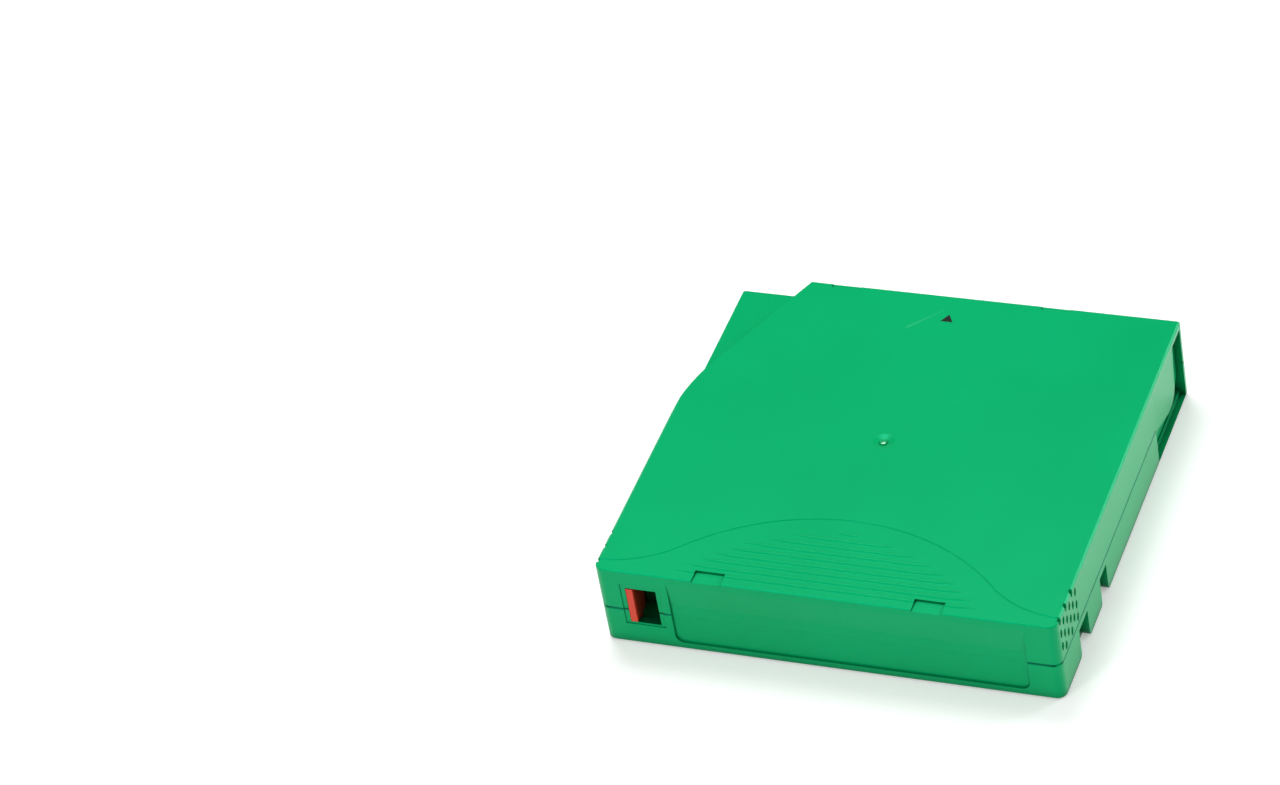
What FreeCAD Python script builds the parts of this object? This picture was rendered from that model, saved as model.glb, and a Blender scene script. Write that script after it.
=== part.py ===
import FreeCAD, Part
import math
import os
import Sketcher

# A half-inch data tape cartridge lying on its base. The row frame is in millimetres: +Z up,
# +Y the way it goes into a drive, the label end at -Y, and the tape door on the +X side.

# ---------------------------------------------------------------- driving dimensions

SIZES = {
    # case
    "caseWidth": 105.4, "caseLength": 102.0, "caseHeight": 21.5, "wall": 2.0, "roof": 1.8,
    "partingZ": 10.0, "labelEndCorner": 2.2, "driveEndCorner": 0.6, "topEdge": 0.45, "baseEdge": 0.5,
    "partingGroove": 0.3,
    # insertion guide: the lowered corner that stops the case going in the wrong way round
    "guideTop": 16.1, "guideAngle": 24.0,
    # raised outline of the grip field on the top, and its ridges
    "archPeakY": -26.2, "archRadius": 51.0, "archAngle": 44.4, "archReturn": 24.3,
    "archStep": 0.22, "ridgePitch": 2.2, "ridgeFirstY": -30.6, "ridgeField": 46.7,
    "ridgeWidth": 1.5, "ridgeTip": 7.0, "ridgeHeight": 0.2,
    # top face recesses
    "pocketWidth": 6.9, "pocketLength": 3.5, "pocketDepth": 0.5, "pocketCentreX": -1.3,
    "pocketSpacing": 50.2, "farPocketLength": 1.4,
    "dimpleRadius": 2.45, "dimpleDepth": 0.5, "dimpleBeadRadius": 0.75, "dimpleBeadHeight": 0.45,
    # side grips
    "gripPitchY": 2.24, "gripPitchZ": 3.6, "gripWidth": 1.2, "gripTall": 2.7, "gripDepth": 0.6,
    "gripFirstY": -37.0, "gripTopZ": 19.1,
    "notchDepth": 2.2, "notchHeight": 8.0, "notchWidth": 6.5, "notchRearY": -34.2,
    "notchMidWidth": 5.0, "notchMidY": -18.6, "notchFlare": 1.8,
    # label panel and write-protect window
    "labelLeft": -36.0, "labelRight": 45.2, "labelBottom": 2.0, "labelTop": 19.3,
    "labelDepth": 0.5, "labelBend": 13.0, "labelCorner": 2.0,
    "windowLeft": -46.1, "windowRight": -38.9, "windowBottom": 6.3, "windowTop": 16.3,
    "windowRim": 1.1, "windowRimBelow": 0.5, "windowRimDepth": 0.2,
    "sliderBottom": 2.8, "sliderThick": 0.9, "railLip": 0.8, "sliderGap": 0.15,
    "sliderEndGap": 0.2, "sliderOver": 1.3,
    # reel
    "reelX": -1.7, "reelWellRadius": 49.0, "reelWellWall": 1.2, "flangeRadius": 48.3,
    "flangeThick": 1.0, "flangeBottom": 2.8, "hubRadius": 22.0, "hubWall": 2.0,
    "hubFloorTop": 4.9, "tapeWidth": 12.65, "tapeThick": 0.12, "tapeRadius": 46.85,
    "tapeBottom": 3.95,
    "upperFlangeBottom": 16.75, "spindleHoleRadius": 22.5, "reelRimWidth": 2.0, "reelRimTop": 2.7,
    "driveGearInner": 15.5, "driveGearOuter": 19.4, "driveGearRoot": 1.8, "driveGearTip": 0.8,
    "plateInner": 6.0, "plateOuter": 14.5, "plateThick": 1.0,
    "footRadius": 17.4, "footHoleWidth": 4.6, "footHoleDepth": 2.6, "footGap": 0.3,
    # brake
    "brakeInner": 12.0, "brakeOuter": 15.2, "brakeBlockTop": 6.6, "brakeToothHeight": 1.0,
    "brakeButtonBottom": 7.8, "brakeButtonTop": 9.4, "brakeButtonRadius": 15.4, "brakeTravel": 1.8,
    "brakeStemRadius": 6.0, "brakeStemTop": 15.0, "brakeKeyLength": 8.0, "brakeKeyWidth": 1.8,
    "brakeKeyGap": 0.15, "brakeKeyBottom": 12.4, "padTop": 6.4, "padThick": 1.4,
    "brakeSpringRadius": 7.7, "brakeSpringWire": 0.7, "springSeat": 7.2,
    "springSeatHeight": 1.2,
    # door
    "doorSkin": 0.8, "doorPlateX": 50.2, "doorPlateThick": 0.8, "doorFaceThick": 0.75,
    "doorRear": 16.0, "doorFront": 49.3, "doorBottom": 2.35, "doorTop": 19.4,
    "doorOpeningRear": 26.3, "doorOpeningFront": 49.6, "doorOpeningBottom": 0.7,
    "doorPocketRear": -14.0, "doorGap": 0.25, "doorHead": 1.8, "ribThick": 1.0, "stopThick": 1.2,
    "springX": 50.2, "springZ": 10.75,
    "doorSpringRadius": 1.2, "doorSpringWire": 0.45,
    # leader pin
    "pinX": 45.15, "pinY": 41.0, "pinEndRadius": 2.0, "pinFlangeRadius": 3.0, "pinBarrelRadius": 1.25,
    "pinBottom": 2.2, "pinTop": 19.4, "pinSeatHeight": 0.9, "pinSeatWall": 1.1,
    "pinSeatJaw": 1.4,
    # screws and locating holes
    "postWidth": 5.6, "screwRadius": 1.0, "screwHeadRadius": 1.9, "screwHeadDepth": 2.2,
    "screwTip": 15.0, "datumRadius": 2.4, "datumDepth": 6.5, "datumWall": 1.0,
    # memory board
    "boardLength": 19.0, "boardWidth": 9.4, "boardThick": 0.8, "boardX": 36.5,
}

SCREW_PLACES = {
    "rear_left": (-44.5, -36.5), "rear_right": (45.5, -35.0),
    "front_left": (-46.0, 34.0), "front_right": (36.5, 44.8),
}
DATUM_ROUND = (-35.5, 44.0)
DATUM_SLOT = (28.2, 45.0)
DOOR_RIBS = ((-4.0, 28.0), (44.5, 49.1))

doc = FreeCAD.newDocument("tape_cartridge")
sheet = doc.addObject("Spreadsheet::Sheet", "Sizes")


class Size:
    """A number together with the spreadsheet expression that gives it."""

    def __init__(self, number, text):
        self.number = float(number)
        self.text = text

    @staticmethod
    def of(other):
        return other if isinstance(other, Size) else Size(other, repr(float(other)))

    def __add__(self, other):
        other = Size.of(other)
        return Size(self.number + other.number, f"({self.text} + {other.text})")

    def __sub__(self, other):
        other = Size.of(other)
        return Size(self.number - other.number, f"({self.text} - {other.text})")

    def __mul__(self, other):
        other = Size.of(other)
        return Size(self.number * other.number, f"({self.text} * {other.text})")

    def __truediv__(self, other):
        other = Size.of(other)
        return Size(self.number / other.number, f"({self.text} / {other.text})")

    def __neg__(self):
        return Size(-self.number, f"(-1 * {self.text})")

    def __radd__(self, other):
        return Size.of(other) + self

    def __rsub__(self, other):
        return Size.of(other) - self

    def __rmul__(self, other):
        return Size.of(other) * self


def root(size):
    return Size(math.sqrt(size.number), f"sqrt({size.text})")


def sine(angle):
    return Size(math.sin(math.radians(angle.number)), f"sin({angle.text})")


def cosine(angle):
    return Size(math.cos(math.radians(angle.number)), f"cos({angle.text})")


class Sheet:
    """Each driving dimension as an attribute."""


size = Sheet()
for row, (alias, number) in enumerate(SIZES.items(), start=1):
    sheet.set(f"A{row}", alias)
    sheet.set(f"B{row}", str(number))
    sheet.setAlias(f"B{row}", alias)
    setattr(size, alias, Size(number, f"Sizes.{alias}"))
doc.recompute()

# ---------------------------------------------------------------- how a piece is built

PLANE_ROLES = {"XY": "XY_Plane", "XZ": "XZ_Plane", "YZ": "YZ_Plane"}
finished = []


def sound(feature):
    if not feature.isValid() or feature.Shape.isNull():
        raise RuntimeError(f"{feature.Name} did not build: {feature.getStatusString()}")
    return feature


class Piece:
    """One moulded, turned or stamped piece: a body whose features are added in order."""

    def __init__(self, name):
        self.body = doc.addObject("PartDesign::Body", name)
        self.body.Label = name
        self.count = 0
        finished.append(self.body)

    def named(self, kind):
        self.count += 1
        return f"{self.body.Name}_{kind}{self.count}"

    def origin(self, role):
        return next(o for o in self.body.Origin.OriginFeatures if o.Role == role)

    def sketch(self, plane, level=0, shift=0):
        """An empty sketch on an origin plane, moved along the plane's normal by level."""
        sketch = self.body.newObject("Sketcher::SketchObject", self.named("sketch"))
        sketch.AttachmentSupport = [(self.origin(PLANE_ROLES[plane]), "")]
        sketch.MapMode = "FlatFace"
        sketch.setExpression("AttachmentOffset.Base.z", Size.of(level).text)
        sketch.setExpression("AttachmentOffset.Base.x", Size.of(shift).text)
        return sketch

    def feature(self, kind, sketch, length, up, taper):
        feature = self.body.newObject("PartDesign::" + kind, self.named(kind.lower()))
        feature.Profile = sketch
        feature.setExpression("Length", Size.of(length).text)
        feature.Reversed = up != (kind == "Pad")
        if taper is not None:
            feature.TaperAngle = taper
        doc.recompute()
        return sound(feature)

    def pad(self, sketch, length, up=True, taper=None):
        return self.feature("Pad", sketch, length, up, taper)

    def pocket(self, sketch, length, up=True, taper=None):
        before = self.volume()
        feature = self.feature("Pocket", sketch, length, up, taper)
        if self.volume() > before - 1e-4:
            raise RuntimeError(f"{feature.Name} cuts nothing")
        return feature

    def volume(self):
        return self.body.Shape.Volume

    def turn(self, sketch, kind="Revolution", axis="V_Axis"):
        feature = self.body.newObject("PartDesign::" + kind, self.named(kind.lower()))
        feature.Profile = sketch
        feature.ReferenceAxis = (sketch, [axis])
        feature.Angle = 360
        doc.recompute()
        return sound(feature)

    def around(self, feature, copies, axis):
        """Repeats a feature round an axis."""
        pattern = self.body.newObject("PartDesign::PolarPattern", self.named("pattern"))
        pattern.Originals = [feature]
        pattern.Axis = axis
        pattern.Angle = 360
        pattern.Occurrences = copies
        self.body.Tip = pattern
        doc.recompute()
        return sound(pattern)

    def bevel(self, width, test):
        """Bevels the edges that pass a test on their bounding box."""
        base = self.body.Tip
        names = [f"Edge{i}" for i, edge in enumerate(base.Shape.Edges, start=1) if test(edge.BoundBox)]
        feature = self.body.newObject("PartDesign::Chamfer", self.named("bevel"))
        feature.Base = (base, names)
        feature.setExpression("Size", width.text)
        doc.recompute()
        return sound(feature)


def place(sketch, kind, shape, end, number):
    """Fixes one coordinate of a point: a distance bound to the sheet, or on the axis at zero."""
    number = Size.of(number)
    if abs(number.number) < 1e-9:
        axis = -2 if kind == "DistanceX" else -1
        sketch.addConstraint(Sketcher.Constraint("PointOnObject", shape, end, axis))
        return
    index = sketch.addConstraint(Sketcher.Constraint(kind, -1, 1, shape, end, number.number))
    sketch.setExpression(f"Constraints[{index}]", number.text)


def circle(sketch, x, y, radius):
    centre = FreeCAD.Vector(Size.of(x).number, Size.of(y).number, 0)
    radius = Size.of(radius)
    shape = sketch.addGeometry(Part.Circle(centre, FreeCAD.Vector(0, 0, 1), radius.number))
    place(sketch, "DistanceX", shape, 3, x)
    place(sketch, "DistanceY", shape, 3, y)
    index = sketch.addConstraint(Sketcher.Constraint("Radius", shape, radius.number))
    sketch.setExpression(f"Constraints[{index}]", radius.text)


def loop(sketch, corners):
    """A closed outline. A corner is (x, y), or (x, y, radius) if an arc leads to it.

    A positive radius turns left on the way to the corner and a negative one turns right.
    """
    shapes = []
    for index, corner in enumerate(corners):
        before = corners[index - 1]
        start = FreeCAD.Vector(Size.of(before[0]).number, Size.of(before[1]).number, 0)
        end = FreeCAD.Vector(Size.of(corner[0]).number, Size.of(corner[1]).number, 0)
        if len(corner) == 2:
            shape = sketch.addGeometry(Part.LineSegment(start, end))
            shapes.append((shape, 1, 2))
            continue
        radius = Size.of(corner[2])
        chord = end - start
        left = FreeCAD.Vector(-chord.y, chord.x, 0).normalize()
        reach = math.sqrt(max(radius.number ** 2 - chord.Length ** 2 / 4, 0))
        side = 1 if radius.number > 0 else -1
        centre = (start + end) * 0.5 + left * (reach * side)
        middle = centre - left * (abs(radius.number) * side)
        shape = sketch.addGeometry(Part.Arc(start, middle, end))
        shapes.append((shape, 1, 2) if side > 0 else (shape, 2, 1))
        bound = radius if side > 0 else -radius
        index = sketch.addConstraint(Sketcher.Constraint("Radius", shape, bound.number))
        sketch.setExpression(f"Constraints[{index}]", bound.text)
    for index, (shape, _, last) in enumerate(shapes):
        after, first, _ = shapes[(index + 1) % len(shapes)]
        sketch.addConstraint(Sketcher.Constraint("Coincident", shape, last, after, first))
        place(sketch, "DistanceX", shape, last, corners[index][0])
        place(sketch, "DistanceY", shape, last, corners[index][1])
    return sketch


def rectangle(sketch, left, bottom, right, top):
    return loop(sketch, [(left, bottom), (right, bottom), (right, top), (left, top)])


def hexagon(sketch, x, y, inside):
    """A six-sided hole round a circle of the inside radius."""
    corner = inside * (2 / math.sqrt(3))
    return loop(sketch, [
        (x + corner, y), (x + corner / 2, y + inside), (x - corner / 2, y + inside),
        (x - corner, y), (x - corner / 2, y - inside), (x + corner / 2, y - inside),
    ])


# ---------------------------------------------------------------- places used by several pieces

bite = 0.1  # how far a feature runs into the one it joins
half_width = size.caseWidth / 2
half_length = size.caseLength / 2
inner_x = half_width - size.wall
inner_y = half_length - size.wall
roof_z = size.caseHeight - size.roof
low_roof_z = size.guideTop - size.wall
skin_x = half_width - size.doorSkin
lip_x = size.doorPlateX + size.doorPlateThick + size.doorGap
lip_low, lip_high = size.doorBottom + 0.55, size.doorTop - 0.4
rib_x = size.doorPlateX - size.doorGap
window_right_stop = size.windowRight + size.stopThick
slider_front = -inner_y + size.sliderGap
rail_lip = slider_front + size.sliderThick + size.sliderGap
rail_back = rail_lip + size.railLip
rail_left, slider_top = -inner_x - bite, size.windowTop + size.sliderOver


def case_outline(sketch):
    """The case seen from above: soft corners at the label end, tight ones at the drive end."""
    x, y, near, far = half_width, half_length, size.labelEndCorner, size.driveEndCorner
    return loop(sketch, [
        (x - near, -y), (x, near - y, near), (x, y - far), (x - far, y, far),
        (far - x, y), (-x, y - far, far), (-x, near - y), (near - x, -y, near),
    ])


def guide_edge(radius, far_y):
    """Where the insertion guide's edge leaves its arc, and where it meets the front."""
    rise = radius * sine(size.guideAngle)
    leave = size.reelX - radius * cosine(size.guideAngle)
    slope = sine(size.guideAngle) / cosine(size.guideAngle)
    return (leave, rise), (leave + (far_y - rise) * slope, far_y)


def reel_arc(sketch, start, end):
    """A stretch of the thin wall that bounds the reel's well, between two angles in degrees."""
    inner, outer = size.reelWellRadius, size.reelWellRadius + size.reelWellWall
    a, b = (Size(angle, str(float(angle))) for angle in (start, end))

    def at(radius, angle):
        return size.reelX + radius * cosine(angle), radius * sine(angle)

    return loop(sketch, [(*at(inner, a), -inner), at(outer, a), (*at(outer, b), outer), at(inner, b)])


def screw_posts(piece, level, height, up):
    for place_name, (x, y) in SCREW_PLACES.items():
        reach = height
        if place_name == "front_left" and up:
            reach = low_roof_z - level + 0.2
        half = size.postWidth / 2
        post = rectangle(piece.sketch("XY", level), x - half, y - half, x + half, y + half)
        piece.pad(post, reach)


def grips(piece, side):
    """Staggered lens-shaped finger grooves near the label end of one side."""
    outside = half_width + 0.5
    sketch = piece.sketch("YZ", outside if side > 0 else -outside)
    wide, tall = size.gripWidth / 2, size.gripTall / 2
    for column in range(6):
        y = size.gripFirstY - size.gripPitchY * column
        for row in range(3):
            z = size.gripTopZ - size.gripPitchZ * (row - 0.5 * (column % 2))
            loop(sketch, [(y, z - tall), (y + wide, z - tall / 3), (y + wide, z + tall / 3),
                          (y, z + tall), (y - wide, z + tall / 3), (y - wide, z - tall / 3)])
    piece.pocket(sketch, size.gripDepth + 0.5, up=side < 0)


# ---------------------------------------------------------------- upper shell

def upper_shell():
    piece = Piece("upper_shell")
    height = size.caseHeight - size.partingZ
    piece.pad(case_outline(piece.sketch("XY", size.partingZ)), height)
    piece.bevel(size.topEdge, lambda box: box.ZMin > size.caseHeight.number - 0.01)
    piece.bevel(size.partingGroove, lambda box: box.ZMax < size.partingZ.number + 0.01)

    # insertion guide: an arc round the reel, then straight to the front
    far = half_length + 1
    reach = half_width + size.reelX
    leave, meet = guide_edge(reach, far)
    step = loop(piece.sketch("XY", size.caseHeight + 1), [
        (-half_width, 0), (*leave, -reach), meet, (-half_width - 1, far), (-half_width - 1, 0),
    ])
    piece.pocket(step, size.caseHeight + 1 - size.guideTop, up=False)

    # grip field: a bell-shaped step down, and thin ridges that end on a circle
    arch_y = size.archPeakY - size.archRadius
    drop_x = size.archRadius * sine(size.archAngle)
    drop_y = arch_y + size.archRadius * cosine(size.archAngle)
    flat_y = drop_y - size.archReturn * (1 - cosine(size.archAngle))
    flat_x = drop_x + size.archReturn * sine(size.archAngle)
    edge_y = -half_length - 1
    field = loop(piece.sketch("XY", size.caseHeight), [
        (-half_width - 1, flat_y), (-half_width - 1, edge_y), (half_width + 1, edge_y),
        (half_width + 1, flat_y), (flat_x, flat_y), (drop_x, drop_y, -size.archReturn),
        (-drop_x, drop_y, size.archRadius), (-flat_x, flat_y, -size.archReturn),
    ])
    piece.pocket(field, size.archStep, up=False, taper=-50)
    field_z = size.caseHeight - size.archStep
    ridges = piece.sketch("XY", field_z - 0.05)
    for row in range(9):
        y = size.ridgeFirstY - size.ridgePitch * row
        reach = root(size.ridgeField * size.ridgeField - (y - arch_y) * (y - arch_y))
        tip = size.ridgeTip if reach.number > 2 * size.ridgeTip.number else reach * 0.6
        half = size.ridgeWidth / 2
        loop(ridges, [(-reach, y), (tip - reach, y - half), (reach - tip, y - half),
                      (reach, y), (reach - tip, y + half), (tip - reach, y + half)])
    piece.pad(ridges, size.ridgeHeight + 0.05, taper=-66)

    # small recesses at the label edge and the front edge, and the dimple over the reel
    edges = [(-half_length - 1, size.pocketLength - half_length, size.archStep),
             (half_length - size.farPocketLength, half_length + 1, 0)]
    for y0, y1, drop in edges:
        sketch = piece.sketch("XY", size.caseHeight + 1)
        for side in (-1, 1):
            x = size.pocketCentreX + size.pocketSpacing * (side / 2)
            rectangle(sketch, x - size.pocketWidth / 2, y0, x + size.pocketWidth / 2, y1)
        piece.pocket(sketch, size.pocketDepth + 1 + drop, up=False)
    top = size.caseHeight
    floor = top - size.dimpleDepth
    bead, high = size.dimpleBeadRadius, size.dimpleBeadHeight
    dish = piece.sketch("XZ", shift=size.reelX)
    loop(dish, [
        (0, top + 0.5), (0, floor + high), (bead, floor, -((bead * bead + high * high) / (2 * high))),
        (size.dimpleRadius, top), (size.dimpleRadius, top + 0.5),
    ])
    piece.turn(dish, "Groove")

    # the hollow: full height over the reel, lower under the insertion guide
    piece.pocket(rectangle(piece.sketch("XY", size.partingZ), -inner_x, -inner_y, inner_x, inner_y),
                 low_roof_z - size.partingZ)
    leave, meet = guide_edge(size.reelWellRadius, inner_y)
    hollow = loop(piece.sketch("XY", size.partingZ), [
        (-inner_x, -inner_y), (inner_x, -inner_y), (inner_x, inner_y), meet, leave,
        (-inner_x, 0, size.reelWellRadius),
    ])
    piece.pocket(hollow, roof_z - size.partingZ)
    deep = roof_z - size.partingZ + 0.2

    # walls of the reel's well, screw posts, brake key and spring seat
    for start, end in ((184, 266), (274, 363), (50, 86)):
        piece.pad(reel_arc(piece.sketch("XY", size.partingZ), start, end), deep)
    piece.pad(reel_arc(piece.sketch("XY", size.partingZ), 94, 176), low_roof_z - size.partingZ + 0.2)
    screw_posts(piece, size.partingZ, deep, up=True)
    for x, y in ((size.brakeKeyLength, size.brakeKeyWidth), (size.brakeKeyWidth, size.brakeKeyLength)):
        key = rectangle(piece.sketch("XY", size.brakeKeyBottom),
                        size.reelX - x / 2, -y / 2, size.reelX + x / 2, y / 2)
        piece.pad(key, roof_z - size.brakeKeyBottom + 0.2)
    for x, y in ((size.springSeat, size.brakeKeyWidth), (size.brakeKeyWidth, size.springSeat)):
        seat = rectangle(piece.sketch("XY", roof_z - size.springSeatHeight),
                         size.reelX - x, -y / 2, size.reelX + x, y / 2)
        piece.pad(seat, size.springSeatHeight + 2 * bite)

    # rail that guides the write-protect slider, and the ribs and stop of the door
    piece.pad(rectangle(piece.sketch("XY", slider_top + size.sliderEndGap),
                        rail_left, -inner_y - bite, window_right_stop, rail_back),
              roof_z - slider_top)
    piece.pad(rectangle(piece.sketch("XY", slider_top - 1), rail_left, rail_lip, window_right_stop,
                        rail_back), 1.3)
    piece.pad(door_stop(piece.sketch("XY", size.partingZ)), deep)
    for y0, y1 in DOOR_RIBS:
        piece.pad(rectangle(piece.sketch("XY", roof_z - 1), rib_x - size.ribThick, y0, rib_x, y1), 1.2)
    pin_seat(piece, roof_z - size.pinSeatHeight - 0.3, size.pinSeatHeight + 0.5)

    door_way(piece, size.partingZ, up=True)
    window_cut(piece, size.partingZ, size.windowTop)
    label_panel(piece)
    for side in (-1, 1):
        grips(piece, side)
    holes = piece.sketch("XY", size.partingZ)
    for x, y in SCREW_PLACES.values():
        hexagon(holes, x, y, size.screwRadius + 0.02)
    piece.pocket(holes, size.screwTip + 0.3 - size.partingZ)
    return piece


def pin_seat(piece, level, height):
    """A U-shaped fence, open to the side, that an end of the leader pin lies in."""
    inner, outer = size.pinEndRadius + 0.2, size.pinEndRadius + 0.2 + size.pinSeatWall
    x, y, jaw = size.pinX, size.pinY, size.pinX + size.pinSeatJaw
    fence = loop(piece.sketch("XY", level), [
        (jaw, y - inner), (x, y - inner), (x - inner, y, -inner), (x, y + inner, -inner),
        (jaw, y + inner), (jaw, y + outer), (x, y + outer), (x - outer, y, outer),
        (x, y - outer, outer), (jaw, y - outer),
    ])
    piece.pad(fence, height)


def door_stop(sketch):
    """The wall behind the pocket of the door, which its spring pushes against."""
    return rectangle(sketch, rib_x - size.ribThick - size.doorGap, size.doorPocketRear - size.stopThick,
                     inner_x + bite, size.doorPocketRear)


def door_way(piece, level, up):
    """The pocket the door runs in, its lips, and the opening the tape leaves by."""
    plate_end, face_end = (roof_z, lip_high) if up else (size.wall, lip_low)
    skin_end = size.caseHeight - 1.5 if up else size.doorOpeningBottom
    front = size.doorOpeningFront
    for end, x, rear in ((plate_end, lip_x, size.doorPocketRear), (face_end, skin_x, size.doorPocketRear)):
        pocket = rectangle(piece.sketch("XY", level), inner_x - 0.5, rear, x, front)
        piece.pocket(pocket, end - level if up else level - end, up)
    inside = (skin_x if up else lip_x) - 0.01
    skin = rectangle(piece.sketch("XY", level), inside, size.doorOpeningRear, half_width + 1, front)
    piece.pocket(skin, skin_end - level if up else level - skin_end, up)


def window_cut(piece, z0, z1):
    """The write-protect window in a shallow sunk frame, as far as it lies in this shell."""
    outside = half_length + 0.5
    rim, frame_top, frame_bottom = size.windowRim, z1, z0
    if z1.number > size.partingZ.number:
        frame_top = z1 + rim
    else:
        frame_bottom = z0 - size.windowRimBelow
    frame = rectangle(piece.sketch("XZ", outside), size.windowLeft - rim, frame_bottom,
                      size.windowRight + rim, frame_top)
    piece.pocket(frame, 0.5 + size.windowRimDepth, up=False)
    window = rectangle(piece.sketch("XZ", outside), size.windowLeft, z0, size.windowRight, z1)
    piece.pocket(window, 0.5 + size.wall + 0.01, up=False)


def label_panel(piece):
    """The flat sunk panel for a label, which runs out towards the top edge."""
    face, sunk = -half_length, size.labelDepth - half_length
    panel = loop(piece.sketch("YZ", size.labelLeft), [
        (face - 0.5, size.labelBottom), (sunk, size.labelBottom), (sunk, size.labelBend),
        (face, size.labelTop), (face - 0.5, size.labelTop),
    ])
    piece.pocket(panel, size.labelRight - size.labelLeft)


def label_corners(piece):
    """Rounds the panel's two lower corners off."""
    low, r = size.labelBottom, size.labelCorner
    for x, turn in ((size.labelLeft, r), (size.labelRight, -r)):
        fill = loop(piece.sketch("XZ", half_length), [(x, low), (x + turn, low), (x, low + r, -turn)])
        piece.pad(fill, size.labelDepth, up=False)


# ---------------------------------------------------------------- lower shell

def lower_shell():
    piece = Piece("lower_shell")
    piece.pad(case_outline(piece.sketch("XY")), size.partingZ)
    piece.bevel(size.baseEdge, lambda box: box.ZMax < 0.01)
    piece.bevel(size.partingGroove, lambda box: box.ZMin > size.partingZ.number - 0.01)
    hollow = rectangle(piece.sketch("XY", size.wall), -inner_x, -inner_y, inner_x, inner_y)
    piece.pocket(hollow, size.partingZ - size.wall + 1)
    deep = size.partingZ - size.wall + bite
    inside = size.wall - bite
    for start, end in ((184, 266), (274, 363), (50, 86), (94, 176)):
        piece.pad(reel_arc(piece.sketch("XY", inside), start, end), deep)
    screw_posts(piece, inside, deep, up=False)

    # spindle opening with the rim the reel rests on, and the locating holes
    rim = piece.sketch("XY", inside)
    circle(rim, size.reelX, 0, size.spindleHoleRadius + size.reelRimWidth)
    circle(rim, size.reelX, 0, size.spindleHoleRadius)
    piece.pad(rim, size.reelRimTop - inside)
    opening = piece.sketch("XY", -1)
    circle(opening, size.reelX, 0, size.spindleHoleRadius)
    piece.pocket(opening, size.wall + 2)
    tube_top = size.datumDepth + size.datumWall
    tube = piece.sketch("XY", inside)
    circle(tube, *DATUM_ROUND, size.datumRadius + size.datumWall)
    piece.pad(tube, tube_top - inside)
    piece.pad(slot(piece.sketch("XY", inside), DATUM_SLOT, size.datumRadius + size.datumWall),
              tube_top - inside)
    hole = piece.sketch("XY", -1)
    circle(hole, *DATUM_ROUND, size.datumRadius)
    piece.pocket(hole, size.datumDepth + 1)
    piece.pocket(slot(piece.sketch("XY", -1), DATUM_SLOT, size.datumRadius), size.datumDepth + 1)

    # slider rail, spring stop, door ribs, pin seat and the 45 degree rests of the memory board
    floor = size.sliderBottom - size.sliderEndGap
    piece.pad(rectangle(piece.sketch("XY", inside), rail_left, -inner_y - bite, window_right_stop,
                        rail_back), floor - inside)
    piece.pad(rectangle(piece.sketch("XY", floor - bite), rail_left, rail_lip, window_right_stop,
                        rail_back), size.railLip + bite)
    piece.pad(rectangle(piece.sketch("XY", inside), window_right_stop - size.stopThick, -inner_y - bite,
                        window_right_stop, rail_back), deep)
    piece.pad(door_stop(piece.sketch("XY", inside)), deep)
    for y0, y1 in DOOR_RIBS:
        piece.pad(rectangle(piece.sketch("XY", inside), rib_x - size.ribThick, y0, rib_x, y1), 1.1)
    pin_seat(piece, inside, size.pinSeatHeight + bite)
    for x in (size.boardX - 8, size.boardX + 6.5):
        rest = loop(piece.sketch("YZ", x), [
            (-inner_y - bite, inside), (-inner_y + 6.9, inside), (-inner_y - bite, size.wall + 6.9),
        ])
        piece.pad(rest, 1.5)

    # side notches, each with its own wall behind
    for side, y, width in ((-1, size.notchRearY, size.notchWidth), (1, size.notchRearY, size.notchWidth),
                           (1, size.notchMidY, size.notchMidWidth)):
        x_in, x_out = inner_x - 1.9, half_width + 1
        cut_in = half_width - size.notchDepth
        back = [x_in, inner_x + bite] if side > 0 else [-inner_x - bite, -x_in]
        piece.pad(rectangle(piece.sketch("XY", inside), back[0], y - width / 2 - size.stopThick,
                            back[1], y + width / 2 + size.stopThick), deep)
        flare, y0, y1 = size.notchFlare, y - width / 2, y + width / 2
        notch = loop(piece.sketch("YZ", cut_in if side > 0 else -x_out), [
            (y0 - flare, -1), (y0 - flare, 0), (y0, flare, flare), (y0, size.notchHeight),
            (y1, size.notchHeight), (y1, flare), (y1 + flare, 0, flare), (y1 + flare, -1),
        ])
        piece.pocket(notch, x_out - cut_in)

    door_way(piece, size.partingZ, up=False)
    window_cut(piece, size.windowBottom, size.partingZ)
    label_panel(piece)
    label_corners(piece)
    heads, shanks = piece.sketch("XY", -1), piece.sketch("XY", -1)
    for x, y in SCREW_PLACES.values():
        circle(heads, x, y, size.screwHeadRadius + 0.2)
        hexagon(shanks, x, y, size.screwRadius + 0.25)
    piece.pocket(heads, size.screwHeadDepth + 1)
    piece.pocket(shanks, size.partingZ + 2)
    return piece


def slot(sketch, centre, radius, half_run=1.0):
    """A slot that runs along X."""
    x, y = centre
    left, right, r = x - half_run, x + half_run, radius
    return loop(sketch, [
        (right, y - r), (right + r, y, r), (right, y + r, r), (left, y + r), (left - r, y, r),
        (left, y - r, r),
    ])


# ---------------------------------------------------------------- door, slider and their spring

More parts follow.
